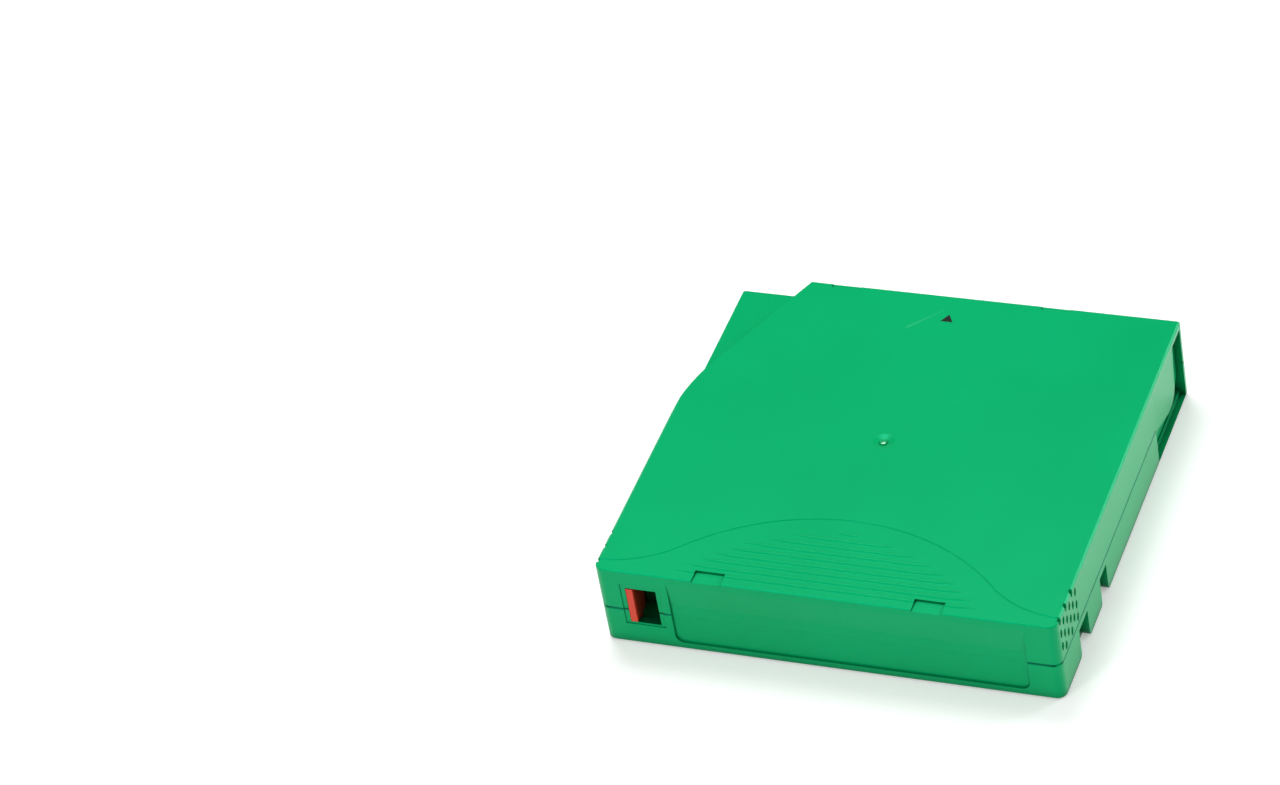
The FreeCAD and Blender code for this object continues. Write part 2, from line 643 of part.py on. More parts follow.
def access_door():
    piece = Piece("access_door")
    x = size.doorPlateX
    plate = loop(piece.sketch("YZ", x), [
        (size.doorRear, size.doorBottom), (size.doorFront - 4.0, size.doorBottom),
        (size.doorFront, size.doorBottom + 4.5), (size.doorFront, size.doorTop),
        (size.doorRear, size.doorTop),
    ])
    piece.pad(plate, size.doorPlateThick)
    low, high = lip_low + size.doorGap, lip_high - size.doorGap
    rear = size.doorOpeningRear + 0.5
    face = loop(piece.sketch("YZ", x + size.doorPlateThick - bite), [
        (rear, high), (rear, low + 4.4), (rear + 12.2, low + 0.75), (rear + 14.8, low + 0.75),
        (rear + 18.3, low + 4.6, 4.2), (rear + 19.4, high),
    ])
    piece.pad(face, size.doorFaceThick + bite)
    head = rectangle(piece.sketch("YZ", rib_x - 1.1), size.doorRear - size.doorHead, size.springZ - 1.4,
                     size.doorRear + 0.6, size.springZ + 1.4)
    piece.pad(head, skin_x - rib_x + 1.1 - 0.25)
    spigot = piece.sketch("XZ", size.doorHead - size.doorRear)
    circle(spigot, size.springX, size.springZ, 0.8)
    piece.pad(spigot, 3.0)
    return piece


def write_protect_slider():
    piece = Piece("write_protect_slider")
    tab_right = size.windowLeft + 1.7
    plate = rectangle(piece.sketch("XY", size.sliderBottom), -inner_x + 0.3, slider_front, tab_right,
                      slider_front + size.sliderThick)
    piece.pad(plate, slider_top - size.sliderBottom)
    tab = rectangle(piece.sketch("XY", size.windowBottom + size.sliderEndGap), size.windowLeft + 0.15,
                    bite - half_length, tab_right, -inner_y + 3.6)
    piece.pad(tab, size.windowTop - size.windowBottom - size.sliderEndGap * 2)
    return piece


def coil(name, radius, wire, length, turns):
    """A compression spring of three-sided wire that runs up its own Z axis from its origin."""
    helix = doc.addObject("Part::Helix", name + "_path")
    helix.setExpression("Radius", Size.of(radius).text)
    helix.setExpression("Height", (length - wire).text)
    helix.setExpression("Pitch", ((length - wire) / turns).text)
    section = doc.addObject("Part::RegularPolygon", name + "_section")
    section.Polygon = 3
    section.setExpression("Circumradius", (wire / 2).text)
    section.setExpression("Placement.Base.x", Size.of(radius).text)
    section.Placement.Rotation = FreeCAD.Rotation(FreeCAD.Vector(1, 0, 0), 90)
    spring = doc.addObject("Part::Sweep", name)
    spring.Sections = [section]
    spring.Spine = (helix, ["Edge1"])
    spring.Solid = True
    spring.Frenet = True
    spring.Label = name
    doc.recompute()
    finished.append(spring)
    return spring


def door_spring():
    reach = size.doorRear - size.doorHead - size.doorPocketRear
    spring = coil("door_spring", size.doorSpringRadius, size.doorSpringWire, reach - 0.2, 5)
    spring.Placement.Rotation = FreeCAD.Rotation(FreeCAD.Vector(1, 0, 0), -90)
    spring.setExpression("Placement.Base.x", size.springX.text)
    spring.setExpression("Placement.Base.y", (size.doorPocketRear + bite + size.doorSpringWire / 2).text)
    spring.setExpression("Placement.Base.z", size.springZ.text)


# ---------------------------------------------------------------- leader pin and memory board

def on_axis(piece, x, y, z=0):
    for axis, value in zip("xyz", (x, y, z)):
        piece.body.setExpression(f"Placement.Base.{axis}", Size.of(value).text)


def leader_pin():
    piece = Piece("leader_pin")
    low, high, end = size.pinBottom, size.pinTop, size.pinEndRadius
    middle, half_gap, flange = (low + high) / 2, size.tapeWidth / 2 + 0.15, 0.6
    barrel, wide = size.pinBarrelRadius, size.pinFlangeRadius
    loop(outline := piece.sketch("XZ"), [
        (0, low), (end, low), (end, middle - half_gap - flange),
        (wide, middle - half_gap - flange), (wide, middle - half_gap), (barrel, middle - half_gap),
        (barrel, middle + half_gap), (wide, middle + half_gap), (wide, middle + half_gap + flange),
        (end, middle + half_gap + flange), (end, high), (0, high),
    ])
    piece.turn(outline)
    on_axis(piece, size.pinX, size.pinY)
    return piece


def leader_pin_clamp():
    piece = Piece("leader_pin_clamp")
    inner, outer, gap = size.pinBarrelRadius + 0.02, size.pinBarrelRadius + 1.0, 0.55
    start = (size.pinBottom + size.pinTop) / 2 - size.tapeWidth / 2
    depth_in, depth_out = root(inner * inner - gap * gap), root(outer * outer - gap * gap)
    clip = loop(piece.sketch("XY", start), [
        (gap, -depth_out), (outer, 0, outer), (0, outer, outer), (-outer, 0, outer),
        (-gap, -depth_out, outer), (-gap, -depth_in), (-inner, 0, -inner), (0, inner, -inner),
        (inner, 0, -inner), (gap, -depth_in, -inner),
    ])
    piece.pad(clip, size.tapeWidth)
    on_axis(piece, size.pinX, size.pinY)
    return piece


def pin_retaining_spring():
    """A leaf spring: an upright strip against the front wall with a finger on each end of the pin."""
    piece = Piece("pin_retaining_spring")
    thick, wall_y, x = 0.3, inner_y - bite, size.pinX
    anchor, touch = wall_y - thick, size.pinY + size.pinEndRadius + 0.05
    strip = rectangle(piece.sketch("XY", size.pinBottom + bite), x - 5, anchor, x - 3, wall_y)
    piece.pad(strip, size.pinTop - size.pinBottom - 0.2)
    tall = 0.5
    for z in (size.pinBottom + size.pinSeatHeight, size.pinTop - size.pinSeatHeight - tall - 0.05):
        finger = loop(piece.sketch("XY", z), [
            (x - 3.05, anchor), (x - 0.6, touch + 0.35), (x + 0.6, touch + 0.05), (x + 2.2, touch + 1.0),
            (x + 2.0, touch + 1.25), (x + 0.6, touch + 0.4), (x - 0.4, touch + 0.65), (x - 2.8, wall_y),
            (x - 3.05, wall_y),
        ])
        piece.pad(finger, tall)
    return piece


def memory_board():
    """The board leans at 45 degrees, so it can be read from below and from the label end."""
    board = Piece("memory_board")
    half_long, half_wide = size.boardLength / 2, size.boardWidth / 2
    board.pad(rectangle(board.sketch("XY"), -half_long, -half_wide, half_long, half_wide), size.boardThick)
    chip = Piece("memory_chip")
    chip.pad(rectangle(chip.sketch("XY", size.boardThick), -2.2, -1.8, 2.2, 1.8), 0.7)
    lean = FreeCAD.Rotation(FreeCAD.Vector(1, 0, 0), -45)
    for piece in (board, chip):
        piece.body.Placement.Rotation = lean
        on_axis(piece, size.boardX, -inner_y + 3.47, size.wall + 3.47)


# ---------------------------------------------------------------- reel and brake

def sector(sketch, inner, outer, middle, half_angle):
    a, b = (Size(angle, str(float(angle))) for angle in (middle - half_angle, middle + half_angle))

    def at(radius, angle):
        return radius * cosine(angle), radius * sine(angle)

    return loop(sketch, [(*at(inner, a), -inner), at(outer, a), (*at(outer, b), outer), at(inner, b)])


def ring(sketch, inner, outer):
    circle(sketch, 0, 0, outer)
    circle(sketch, 0, 0, inner)
    return sketch


def reel_hub():
    """Hub and lower flange, one moulding, with the gear the drive turns it by underneath."""
    piece = Piece("reel_hub")
    flange_top = size.flangeBottom + size.flangeThick
    disc = piece.sketch("XY", size.flangeBottom)
    circle(disc, 0, 0, size.flangeRadius)
    piece.pad(disc, size.flangeThick)
    barrel = piece.sketch("XY", flange_top - bite)
    circle(barrel, 0, 0, size.hubRadius)
    piece.pad(barrel, size.upperFlangeBottom - flange_top + bite)
    bore = piece.sketch("XY", size.upperFlangeBottom + 1)
    circle(bore, 0, 0, size.hubRadius - size.hubWall)
    piece.pocket(bore, size.upperFlangeBottom + 1 - size.hubFloorTop, up=False)
    gear = ring(piece.sketch("XY", size.driveGearRoot), size.driveGearInner, size.driveGearOuter)
    piece.pad(gear, size.flangeBottom - size.driveGearRoot + bite)
    for middle in (60, 180, 300):
        block = sector(piece.sketch("XY", size.hubFloorTop - bite), size.brakeInner, size.brakeOuter,
                       middle, 32)
        piece.pad(block, size.brakeBlockTop + size.brakeToothHeight + 0.2 - size.hubFloorTop)
    tip = size.brakeBlockTop + size.brakeToothHeight + bite
    upper = loop(piece.sketch("YZ", -size.brakeOuter - 0.3), [
        (0, size.brakeBlockTop), (1.05, tip + bite), (-1.05, tip + bite),
    ])
    axis = (piece.origin("Z_Axis"), [""])
    piece.around(piece.pocket(upper, size.brakeOuter - size.brakeInner + 0.6), 36, axis)
    tooth = loop(piece.sketch("YZ", size.driveGearInner + 0.15), [
        (-0.9, size.driveGearRoot + bite), (-0.9, size.driveGearRoot), (-0.35, size.driveGearTip),
        (0.35, size.driveGearTip), (0.9, size.driveGearRoot), (0.9, size.driveGearRoot + bite),
    ])
    piece.around(piece.pad(tooth, size.driveGearOuter - size.driveGearInner - 0.3), 48, axis)
    foot = rectangle(piece.sketch("XY"), size.footRadius - size.footHoleDepth / 2, -size.footHoleWidth / 2,
                     size.footRadius + size.footHoleDepth / 2, size.footHoleWidth / 2)
    piece.around(piece.pocket(foot, size.hubFloorTop + 1), 3, axis)
    on_axis(piece, size.reelX, 0)
    return piece


def release_pad():
    """Three-footed pad under the brake: the drive's gear pushes its feet up."""
    piece = Piece("release_pad")
    middle = piece.sketch("XY", size.padTop - size.padThick)
    circle(middle, 0, 0, 7.5)
    piece.pad(middle, size.padThick)
    axis = (piece.origin("Z_Axis"), [""])
    gap = size.footGap
    reach = size.footRadius + size.footHoleDepth / 2 - gap
    arm = rectangle(piece.sketch("XY", size.padTop - size.padThick), 5, -1.8, reach, 1.8)
    piece.around(piece.pad(arm, size.padThick), 3, axis)
    foot_low = size.driveGearTip + 0.5
    foot = rectangle(piece.sketch("XY", foot_low), size.footRadius - size.footHoleDepth / 2 + gap,
                     gap - size.footHoleWidth / 2, reach, size.footHoleWidth / 2 - gap)
    piece.around(piece.pad(foot, size.padTop - foot_low), 3, axis)
    on_axis(piece, size.reelX, 0)
    return piece


def brake_button():
    """Toothed disc that locks the hub; its slotted stem slides on the cross under the roof."""
    piece = Piece("brake_button")
    low, high = size.brakeButtonBottom, size.brakeButtonTop
    disc = piece.sketch("XY", low)
    circle(disc, 0, 0, size.brakeButtonRadius)
    piece.pad(disc, high - low)
    stem = piece.sketch("XY", high - bite)
    circle(stem, 0, 0, size.brakeStemRadius)
    piece.pad(stem, size.brakeStemTop - high + bite)
    boss = piece.sketch("XY", size.padTop + bite)
    circle(boss, 0, 0, 3)
    piece.pad(boss, low - size.padTop)
    gap = size.brakeKeyGap
    floor = size.brakeKeyBottom - size.brakeTravel - 0.2
    for x, y in ((size.brakeKeyLength, size.brakeKeyWidth), (size.brakeKeyWidth, size.brakeKeyLength)):
        key = rectangle(piece.sketch("XY", size.brakeStemTop + 1), -x / 2 - gap, -y / 2 - gap,
                        x / 2 + gap, y / 2 + gap)
        piece.pocket(key, size.brakeStemTop + 1 - floor, up=False)
    tooth = loop(piece.sketch("YZ", size.brakeInner + bite), [
        (0, low - size.brakeToothHeight), (0.8, low), (0.8, low + bite), (-0.8, low + bite), (-0.8, low),
    ])
    piece.around(piece.pad(tooth, size.brakeOuter - size.brakeInner - 0.2), 36,
                 (piece.origin("Z_Axis"), [""]))
    on_axis(piece, size.reelX, 0)
    return piece


def brake_spring():
    top = roof_z - 0.05
    spring = coil("brake_spring", size.brakeSpringRadius, size.brakeSpringWire,
                  top - size.brakeButtonTop - 0.05, 2)
    spring.setExpression("Placement.Base.x", size.reelX.text)
    spring.setExpression("Placement.Base.z", (size.brakeButtonTop + 0.05 + size.brakeSpringWire / 2).text)


def rings():
    """Pieces that are plain rings about the reel's axis."""
    flange = Piece("reel_upper_flange")
    flange.pad(ring(flange.sketch("XY", size.upperFlangeBottom), size.hubRadius - size.hubWall,
                    size.flangeRadius), size.flangeThick)
    plate = Piece("reel_plate")
    plate.pad(ring(plate.sketch("XY", size.flangeBottom - size.plateThick), size.plateInner,
                   size.plateOuter), size.plateThick)
    pack = Piece("tape_pack")
    pack.pad(ring(pack.sketch("XY", size.tapeBottom), size.hubRadius + 0.02, size.tapeRadius),
             size.tapeWidth)
    for piece in (flange, plate, pack):
        on_axis(piece, size.reelX, 0)


def leader_tape():
    """The straight run of tape from the pack, past its flanges, to the leader pin a little higher."""
    piece = Piece("leader_tape")
    x, level, clear = size.reelX + size.tapeRadius + 0.05, size.tapeBottom, 12
    rise = (size.pinBottom + size.pinTop) / 2 - size.tapeWidth / 2
    end, wide = size.pinY - size.pinBarrelRadius - 0.05, size.tapeWidth
    run = loop(piece.sketch("YZ", x), [
        (-2, level), (clear, level), (end, rise), (end, rise + wide), (clear, level + wide),
        (-2, level + wide),
    ])
    piece.pad(run, size.tapeThick)
    return piece


def case_screws():
    for place_name, (x, y) in SCREW_PLACES.items():
        piece = Piece("case_screw_" + place_name)
        head_top, wide, thin = size.screwHeadDepth - 0.02, size.screwHeadRadius, size.screwRadius
        outline = loop(piece.sketch("XZ"), [
            (0, head_top - 1.5), (wide, head_top - 1.5), (wide, head_top), (thin, head_top),
            (thin, size.screwTip), (0, size.screwTip),
        ])
        piece.turn(outline)
        socket = piece.sketch("XY", head_top - 2)
        star = []
        for step in range(12):
            reach, angle = (1.0 if step % 2 == 0 else 0.68), math.radians(30 * step)
            star.append((reach * math.cos(angle), reach * math.sin(angle)))
        piece.pocket(loop(socket, star), 1.4)
        on_axis(piece, x, y)


# ---------------------------------------------------------------- build, check and write

for build in (upper_shell, lower_shell, access_door, door_spring, write_protect_slider, leader_pin,
              leader_pin_clamp, pin_retaining_spring, memory_board, reel_hub, rings,
              leader_tape, release_pad, brake_button, brake_spring, case_screws):
    build()
    print(build.__name__, "built")
doc.recompute()

for item in doc.Objects:
    if "Invalid" in item.State or "Error" in item.State:
        raise RuntimeError(f"{item.Name} did not build: {item.State}")
os.makedirs("parts", exist_ok=True)
for item in finished:
    shape = item.Shape
    if shape.isNull() or not shape.isValid() or not shape.Solids:
        raise RuntimeError(f"{item.Label} is not a sound solid")
    shape.exportStep(f"parts/{item.Label}.step")
    print(item.Label, len(shape.Solids), round(shape.Volume, 1), shape.BoundBox)
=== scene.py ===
import math
import bpy
import numpy as np
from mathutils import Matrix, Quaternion, Vector


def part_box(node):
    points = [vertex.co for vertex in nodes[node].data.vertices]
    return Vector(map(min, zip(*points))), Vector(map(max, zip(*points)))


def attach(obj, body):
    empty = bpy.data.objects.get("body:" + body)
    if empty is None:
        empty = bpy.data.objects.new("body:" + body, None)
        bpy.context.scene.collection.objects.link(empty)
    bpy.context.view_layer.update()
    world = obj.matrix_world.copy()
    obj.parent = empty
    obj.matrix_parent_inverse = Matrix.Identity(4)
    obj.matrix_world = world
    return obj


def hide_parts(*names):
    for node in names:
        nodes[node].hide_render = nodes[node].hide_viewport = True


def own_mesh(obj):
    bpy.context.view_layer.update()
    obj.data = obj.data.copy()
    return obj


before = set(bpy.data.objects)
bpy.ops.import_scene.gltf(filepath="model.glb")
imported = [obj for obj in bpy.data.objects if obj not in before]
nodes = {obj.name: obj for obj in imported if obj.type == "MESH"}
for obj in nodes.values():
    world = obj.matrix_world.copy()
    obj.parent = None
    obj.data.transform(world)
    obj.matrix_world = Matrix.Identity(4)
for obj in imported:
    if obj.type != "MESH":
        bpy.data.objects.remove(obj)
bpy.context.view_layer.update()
scene = bpy.context.scene
scene.view_settings.view_transform = "Standard"
millimetre = 0.001
print("frame loaded:", len(nodes), "nodes")

# how a finish is written: sockets that can be added, multiplied and compared


class Flow:
    # one output socket of a finish; arithmetic on it adds Math nodes
    def __init__(self, finish, socket):
        self.finish = finish
        self.socket = socket

    def maths(self, operation, first, second=None):
        links = {0: first} if second is None else {0: first, 1: second}
        return self.finish.node("ShaderNodeMath", {"operation": operation}, links)

    def __add__(self, other):
        return self.maths("ADD", self, other)

    def __radd__(self, other):
        return self.maths("ADD", other, self)

    def __sub__(self, other):
        return self.maths("SUBTRACT", self, other)

    def __rsub__(self, other):
        return self.maths("SUBTRACT", other, self)

    def __mul__(self, other):
        return self.maths("MULTIPLY", self, other)

    def __rmul__(self, other):
        return self.maths("MULTIPLY", other, self)

    def __truediv__(self, other):
        return self.maths("DIVIDE", self, other)

    def __rtruediv__(self, other):
        return self.maths("DIVIDE", other, self)

    def __abs__(self):
        return self.maths("ABSOLUTE", self)

    def sine(self):
        return self.maths("SINE", self)

    def root(self):
        return self.maths("SQRT", self)

    def above(self, level):
        return self.maths("GREATER_THAN", self, level)

    def larger(self, other):
        return self.maths("MAXIMUM", self, other)

    def between(self, low, high):
        # 0 at low, 1 at high, straight in between
        return self.finish.node("ShaderNodeMapRange", {"clamp": True}, {0: self, 1: low, 2: high})

    def inside(self, low, high):
        # 1 from low to high, 0 elsewhere
        return self.above(low) * (1 - self.above(high))


class Finish:
    # a material or a world, whose nodes' sockets take numbers, colours or flows
    def __init__(self, name, group="materials"):
        self.block = getattr(bpy.data, group).new(name)
        self.block.use_nodes = True
        self.tree = self.block.node_tree
        self.tree.nodes.clear()
        # where a point lies on its object, or for a world the direction it is seen in
        place = "Generated" if group == "worlds" else "Object"
        self.place = self.node("ShaderNodeTexCoord", output=place)

    def node(self, kind, settings=None, links=None, output=0):
        # the settings come first, then the values or links of the sockets
        made = self.tree.nodes.new(kind)
        for name, value in (settings or {}).items():
            setattr(made, name, value)
        for name, value in (links or {}).items():
            # a flow is linked, anything else is set on the socket itself
            if isinstance(value, Flow):
                self.tree.links.new(value.socket, made.inputs[name])
            else:
                made.inputs[name].default_value = value
        return Flow(self, made.outputs[output]) if made.outputs else None

    def noise(self, size, detail=2.0, roughness=0.5, place=None):
        # size is the width of one grain in metres
        links = {"Vector": place or self.place, "Scale": 1 / size}
        links.update({"Detail": detail, "Roughness": roughness})
        return self.node("ShaderNodeTexNoise", None, links)

    def openness(self, reach, samples=8):
        # 1 on an open face, falling towards 0 where other faces stand close
        settings = {"samples": samples}
        return self.node("ShaderNodeAmbientOcclusion", settings, {"Distance": reach}, output="AO")

    def seenBy(self, kind):
        # 1 for one kind of ray, such as "Is Camera Ray", and 0 for the others
        return self.node("ShaderNodeLightPath", output=kind)

    def parts(self, place=None):
        # x, y and z of a place as three flows
        split = self.node("ShaderNodeSeparateXYZ", None, {0: place or self.place}).socket.node
        return [Flow(self, output) for output in split.outputs]

    def moved(self, centre, turn=(0, 0, 0)):
        # object coordinates measured from another centre, and turned about it
        links = {0: self.place, 1: centre}
        offset = self.node("ShaderNodeVectorMath", {"operation": "SUBTRACT"}, links)
        return self.node("ShaderNodeMapping", None, {"Vector": offset, "Rotation": turn})

    def tint(self, factor, first, second):
        # a colour that goes from the first to the second as factor goes from 0 to 1
        settings = {"data_type": "RGBA"}
        return self.node("ShaderNodeMix", settings, {0: factor, 6: first, 7: second}, output=2)

    def relief(self, height, depth, over=None):
        # depth is in metres for a height that goes from 0 to 1; over is a normal that lies beneath
        links = {"Height": height, "Distance": depth, "Strength": 1.0}
        if over:
            links["Normal"] = over
        return self.node("ShaderNodeBump", None, links)

    def done(self, **sockets):
        links = {name.replace("_", " "): value for name, value in sockets.items()}
        shader = self.node("ShaderNodeBsdfPrincipled", None, links)
        self.node("ShaderNodeOutputMaterial", None, {"Surface": shader})
        return self.block


# case: painted shade, where its green goes darker, as places in metres

caseShade = {
    "colour": (0.0, 0.07, 0.022, 1),
    "parting": 0.010, "partingHalf": 0.0003, "outerX": 0.0523, "outerY": 0.0506,
    "windowX": (-0.0462, -0.0388), "windowY": (-0.0507, -0.035), "windowZ": (0.0062, 0.0164),
    "reach": 0.005, "lightest": 0.2, "darkest": 0.6, "depth": 0.85,
    "gripX": 0.0515, "gripY": -0.030, "gripZ": 0.0108, "gripRelief": 0.7,
}


def casePaintedShade(finish, x, y, z):
    # painted shade: up to 1 in crevices, at the bottom of the joint between the shells and behind the
    # window
    shade = caseShade
    joint = 1 - (abs(z - shade["parting"]) / shade["partingHalf"]).between(0.5, 1.5)
    proud = (abs(x) - shade["outerX"]).larger(abs(y) - shade["outerY"]).above(0)
    behind = x.inside(*shade["windowX"]) * y.inside(*shade["windowY"]) * z.inside(*shade["windowZ"])
    closed = 1 - finish.openness(shade["reach"])
    crevice = closed.between(shade["lightest"], shade["darkest"]) * shade["depth"]
    # the shallow grips are left lighter, with less painted shade
    grips = abs(x).above(shade["gripX"]) * z.above(shade["gripZ"]) * (1 - y.above(shade["gripY"]))
    return (joint * proud).larger(behind).larger(crevice * (1 - shade["gripRelief"] * grips))


# case: faint lighter line in the top, from its strong end to its faint end

lighterLine = {
    "start": (-0.0084, 0.0384), "end": (0.0, 0.0474), "half": 0.00022, "core": 0.3,
    "colour": (0.10, 0.60, 0.27, 1), "strength": 0.55, "lowest": 0.0213,
}


def lighterLineStrength(x, y, z):
    (startX, startY), (endX, endY) = lighterLine["start"], lighterLine["end"]
    length = math.hypot(endX - startX, endY - startY)
    towardsX, towardsY = (endX - startX) / length, (endY - startY) / length
    along = (x - startX) * towardsX + (y - startY) * towardsY
    aside = abs((y - startY) * towardsX - (x - startX) * towardsY)
    line = (1 - (aside / lighterLine["half"]).between(lighterLine["core"], 1)) * along.above(0)
    return line * (1 - along.between(0, length)) * z.above(lighterLine["lowest"]) * lighterLine["strength"]


# case: moulded plastic with a fine eroded grain

casePlastic = {
    "green": (0.0, 0.43, 0.142, 1), "greenDeep": (0.0, 0.41, 0.132, 1),
    "cloud": 0.03, "cloudRange": (0.35, 0.65),
    "roughness": 0.3, "specular": 0.4, "specularTint": (0.02, 1.0, 0.62, 1),
    "grain": 0.00016, "grainDepth": 0.000004, "peel": 0.0012, "peelDepth": 0.000004,
    "edge": 0.00012, "edgeSamples": 6,
}


def casePlasticFinish():
    look = casePlastic
    finish = Finish("casePlastic")
    x, y, z = finish.parts()
    cloud = finish.noise(look["cloud"], 3.0)
    grain = finish.noise(look["grain"], 2.0, 0.6)
    peel = finish.noise(look["peel"], 1.0)
    colour = finish.tint(cloud.between(*look["cloudRange"]), look["greenDeep"], look["green"])
    # painted shade: the green goes darker in crevices, in the joint between the shells and behind the
    # window
    colour = finish.tint(casePaintedShade(finish, x, y, z), colour, caseShade["colour"])
    # a faint lighter green line across the top
    colour = finish.tint(lighterLineStrength(x, y, z), colour, lighterLine["colour"])
    roughness = look["roughness"] + 0.06 * (peel - 0.5) + 0.05 * (cloud - 0.5)
    edge = finish.node("ShaderNodeBevel", {"samples": look["edgeSamples"]}, {"Radius": look["edge"]})
    coarse = finish.relief(peel, look["peelDepth"], edge)
    fine = finish.relief(grain, look["grainDepth"], coarse)
    return finish.done(Base_Color=colour, Roughness=roughness, Normal=fine,
                       Specular_IOR_Level=look["specular"], Specular_Tint=look["specularTint"])


# write-protect slider: red plastic, with painted shade from just behind the front of its tab and in its
# crevices

sliderPlastic = {
    "red": (0.84, 0.06, 0.018, 1), "redDeep": (0.74, 0.045, 0.014, 1), "cloud": 0.002,
    "shade": (0.10, 0.006, 0.002, 1), "shadeDepth": 0.8, "shadeFrom": -0.0507, "shadeTo": -0.0496,
    "reach": 0.002, "closedRange": (0.3, 0.9), "roughness": 0.4, "grain": 0.0002, "grainDepth": 0.000006,
}


def sliderPlasticFinish():
    look = sliderPlastic
    finish = Finish("sliderPlastic")
    _, y, _ = finish.parts()
    cloud = finish.noise(look["cloud"], 2.0)
    grain = finish.noise(look["grain"], 2.0)
    closed = 1 - finish.openness(look["reach"]).between(*look["closedRange"])
    # painted shade: darker on the tab's side inside the window and where other faces stand close
    shade = y.between(look["shadeFrom"], look["shadeTo"]).larger(closed) * look["shadeDepth"]
    colour = finish.tint(shade, finish.tint(cloud, look["redDeep"], look["red"]), look["shade"])
    return finish.done(Base_Color=colour, Roughness=look["roughness"] + 0.1 * (grain - 0.5),
                       Normal=finish.relief(grain, look["grainDepth"]))


# inner pieces: resins, steel, laminate and the tape

resins = {
    "hubResin": {"colour": (0.60, 0.60, 0.56, 1), "dark": (0.52, 0.52, 0.48, 1),
                 "roughness": 0.45, "fibre": 0.00035},
    "brakeResin": {"colour": (0.76, 0.74, 0.66, 1), "dark": (0.70, 0.68, 0.60, 1),
                   "roughness": 0.32, "fibre": 0.0008},
    "clampResin": {"colour": (0.50, 0.50, 0.47, 1), "dark": (0.44, 0.44, 0.41, 1),
                   "roughness": 0.3, "fibre": 0.0006},
    "chipResin": {"colour": (0.022, 0.022, 0.024, 1), "dark": (0.014, 0.014, 0.015, 1),
                  "roughness": 0.5, "fibre": 0.0001},
}
resinGrain = {"flow": 0.006, "flowRange": (0.3, 0.7), "spread": 0.12, "height": 0.000008}


def resinFinish(name):
    look = resins[name]
    finish = Finish(name)
    flow = finish.noise(resinGrain["flow"], 4.0, 0.6)
    fibre = finish.noise(look["fibre"], 3.0)
    colour = finish.tint(flow.between(*resinGrain["flowRange"]), look["dark"], look["colour"])
    return finish.done(Base_Color=colour, Normal=finish.relief(fibre, resinGrain["height"]),
                       Roughness=look["roughness"] + resinGrain["spread"] * (fibre - 0.5))


steels = {
    "turnedSteel": {"colour": (0.66, 0.66, 0.67, 1), "dark": (0.52, 0.52, 0.54, 1),
                    "roughness": 0.22, "stretch": (1, 1, 60)},
    "springSteel": {"colour": (0.60, 0.59, 0.58, 1), "dark": (0.46, 0.45, 0.44, 1),
                    "roughness": 0.26, "stretch": (1, 8, 1)},
    "plateSteel": {"colour": (0.56, 0.56, 0.57, 1), "dark": (0.44, 0.44, 0.45, 1),
                   "roughness": 0.34, "stretch": (30, 1, 1)},
    "screwSteel": {"colour": (0.58, 0.60, 0.62, 1), "dark": (0.42, 0.44, 0.46, 1),
                   "roughness": 0.3, "stretch": (1, 1, 40)},
}
steelGrain = {"lines": 0.0008, "stain": 0.003, "linesShare": 0.6, "spread": 0.14, "height": 0.000003}


def steelFinish(name):
    look = steels[name]
    finish = Finish(name)
    drawn = finish.node("ShaderNodeMapping", None, {"Vector": finish.place, "Scale": look["stretch"]})
    lines = finish.noise(steelGrain["lines"], 3.0, 0.6, drawn)
    stain = finish.noise(steelGrain["stain"], 3.0)
    share = steelGrain["linesShare"]
    colour = finish.tint(share * lines + (1 - share) * stain, look["dark"], look["colour"])
    return finish.done(Base_Color=colour, Metallic=1.0, Normal=finish.relief(lines, steelGrain["height"]),
                       Roughness=look["roughness"] + steelGrain["spread"] * (lines - 0.5))


boardLook = {
    "mask": (0.012, 0.10, 0.04, 1), "copper": (0.12, 0.30, 0.12, 1), "roughness": 0.35, "weave": 0.0004,
    # the aerial's outer and inner turn from the middle of the board, which is longer across than along
    "lean": math.radians(45), "outerTurn": 0.0045, "innerTurn": 0.0020, "longer": 0.0048,
    "spacing": 0.0006, "track": 0.2, "height": 0.00003,
}


def boardFinish():
    # the aerial: rectangular turns at even spacing round the edge of the board
    look = boardLook
    low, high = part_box("memory_board")
    finish = Finish("boardLaminate")
    across, along, _ = finish.parts(finish.moved((low + high) / 2, (look["lean"], 0, 0)))
    ring = (abs(across) - look["longer"]).larger(abs(along))
    stripe = (ring * (2 * math.pi / look["spacing"])).sine().above(look["track"])
    track = stripe * (ring - look["innerTurn"]).above(0) * (look["outerTurn"] - ring).above(0)
    weave = finish.noise(look["weave"], 2.0)
    colour = finish.tint(track, look["mask"], look["copper"])
    return finish.done(Base_Color=colour, Roughness=look["roughness"] + 0.1 * weave - 0.08 * track,
                       Normal=finish.relief(track + 0.2 * weave, look["height"]))


tapeLook = {"colour": (0.030, 0.022, 0.018, 1), "worn": (0.060, 0.048, 0.040, 1), "turnWidth": 0.00035,
            "wornRange": (0.3, 0.8), "roughness": 0.2, "height": 0.00002}


def tapeFinish():
    # the turns show as rings round the reel's axis on the edges of the pack
    low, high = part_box("tape_pack")
    finish = Finish("tapeFilm")
    x, y, _ = finish.parts(finish.moved((low + high) / 2))
    radius = (x * x + y * y).root()
    ringPlace = finish.node("ShaderNodeCombineXYZ", None, {0: radius})
    turns = finish.noise(tapeLook["turnWidth"], 4.0, 0.7, ringPlace)
    colour = finish.tint(turns.between(*tapeLook["wornRange"]), tapeLook["colour"], tapeLook["worn"])
    return finish.done(Base_Color=colour, Roughness=tapeLook["roughness"] + 0.2 * turns,
                       Normal=finish.relief(turns, tapeLook["height"]))


